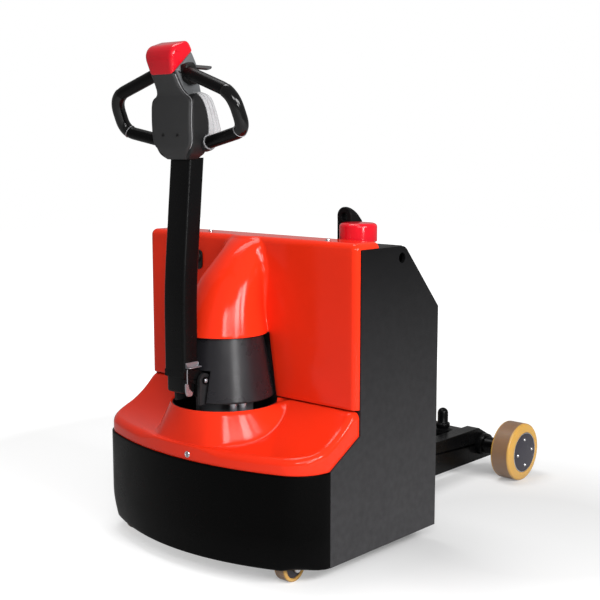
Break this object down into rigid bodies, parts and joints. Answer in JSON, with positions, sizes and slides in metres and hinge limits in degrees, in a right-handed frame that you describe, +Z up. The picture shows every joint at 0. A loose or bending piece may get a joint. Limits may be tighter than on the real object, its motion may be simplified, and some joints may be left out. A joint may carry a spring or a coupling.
{
  "type": "walk-behind electric tow tractor",
  "caption": "Pedestrian tow tractor: tiller on a steered drive wheel, red moulded covers between black side plates, trailing wheels on a tow frame with a hitch pin.",
  "frame": {"origin": "middle of the overall box, on the floor", "axes": "+Z up, -Y towards the operator at the tiller, +Y towards the tow pin and trailing wheels, +X to the side with the stop knob"},
  "size_m": [0.708, 1.2666, 1.2154],
  "materials": {
    "red_cover": "glossy moulded cover",
    "black_steel": "semi-gloss powder coat",
    "battery_case": "plain moulded case",
    "bare_steel": "zinc-plated steel",
    "red_button": "glossy moulded plastic",
    "black_plastic": "moulded plastic",
    "dark_casing": "fine-grained moulded plastic",
    "cast_grey": "painted casting",
    "amber_tread": "cast polyurethane",
    "hub_grey": "satin paint",
    "grip_black": "smooth moulded grip",
    "lever_grey": "moulded plastic"
  },
  "bodies": {
    "chassis": {"base_plate": "black_steel", "battery_floor": "black_steel", "side_plate_left": "black_steel", "side_plate_right": "black_steel", "front_apron": "black_steel", "lower_cover": "red_cover", "upper_cover": "red_cover", "rear_panel": "black_steel", "battery": "battery_case", "slewing_ring": "bare_steel", "castor_mounts": "black_steel", "tow_arm_left": "black_steel", "tow_arm_right": "black_steel", "rear_axle": "black_steel", "hitch_plate": "black_steel", "tow_pin": "black_steel", "stop_knob": "red_button", "lifting_eye": "black_steel", "key_switch": "black_plastic"},
    "steering": {"steering_cone": "dark_casing", "steering_head": "black_steel", "drive_motor": "cast_grey", "drive_leg": "cast_grey", "tilt_pin": "bare_steel"},
    "drive_wheel": {"drive_tyre": "amber_tread", "drive_hub": "hub_grey"},
    "tiller": {"tiller_foot": "black_steel", "tiller_tube": "black_steel", "head_housing": "dark_casing", "head_rear_cover": "dark_casing", "head_neck": "dark_casing", "belly_button": "red_button", "handle_left": "grip_black", "handle_right": "grip_black", "thumb_lever": "lever_grey"},
    "castor_left": {"castor_fork_left": "bare_steel"},
    "castor_wheel_left": {"castor_tyre_left": "amber_tread", "castor_hub_left": "hub_grey"},
    "rear_wheel_left": {"rear_tyre_left": "amber_tread", "rear_hub_left": "hub_grey"},
    "castor_right": {"castor_fork_right": "bare_steel"},
    "castor_wheel_right": {"castor_tyre_right": "amber_tread", "castor_hub_right": "hub_grey"},
    "rear_wheel_right": {"rear_tyre_right": "amber_tread", "rear_hub_right": "hub_grey"}
  },
  "joints": [
    {"name": "steering", "type": "hinge", "parent": "chassis", "child": "steering", "pos_m": [0, -0.43725, 0.262], "axis": [0, 0, 1], "range_deg": [-90, 90]},
    {"name": "tiller_tilt", "type": "hinge", "parent": "steering", "child": "tiller", "pos_m": [0, -0.54325, 0.445], "axis": [1, 0, 0], "range_deg": [0, 85], "stiffness_Nm_per_rad": 22, "springref_deg": -91.67},
    {"name": "drive_wheel_spin", "type": "hinge", "parent": "steering", "child": "drive_wheel", "pos_m": [0, -0.43725, 0.105], "axis": [1, 0, 0], "continuous": true},
    {"name": "castor_swivel_left", "type": "hinge", "parent": "chassis", "child": "castor_left", "pos_m": [-0.264, -0.47325, 0.1], "axis": [0, 0, 1], "continuous": true},
    {"name": "castor_spin_left", "type": "hinge", "parent": "castor_left", "child": "castor_wheel_left", "pos_m": [-0.264, -0.49125, 0.036], "axis": [1, 0, 0], "continuous": true},
    {"name": "rear_spin_left", "type": "hinge", "parent": "chassis", "child": "rear_wheel_left", "pos_m": [-0.223, 0.54875, 0.085], "axis": [1, 0, 0], "continuous": true},
    {"name": "castor_swivel_right", "type": "hinge", "parent": "chassis", "child": "castor_right", "pos_m": [0.264, -0.47325, 0.1], "axis": [0, 0, 1], "continuous": true},
    {"name": "castor_spin_right", "type": "hinge", "parent": "castor_right", "child": "castor_wheel_right", "pos_m": [0.264, -0.49125, 0.036], "axis": [1, 0, 0], "continuous": true},
    {"name": "rear_spin_right", "type": "hinge", "parent": "chassis", "child": "rear_wheel_right", "pos_m": [0.223, 0.54875, 0.085], "axis": [1, 0, 0], "continuous": true}
  ]
}
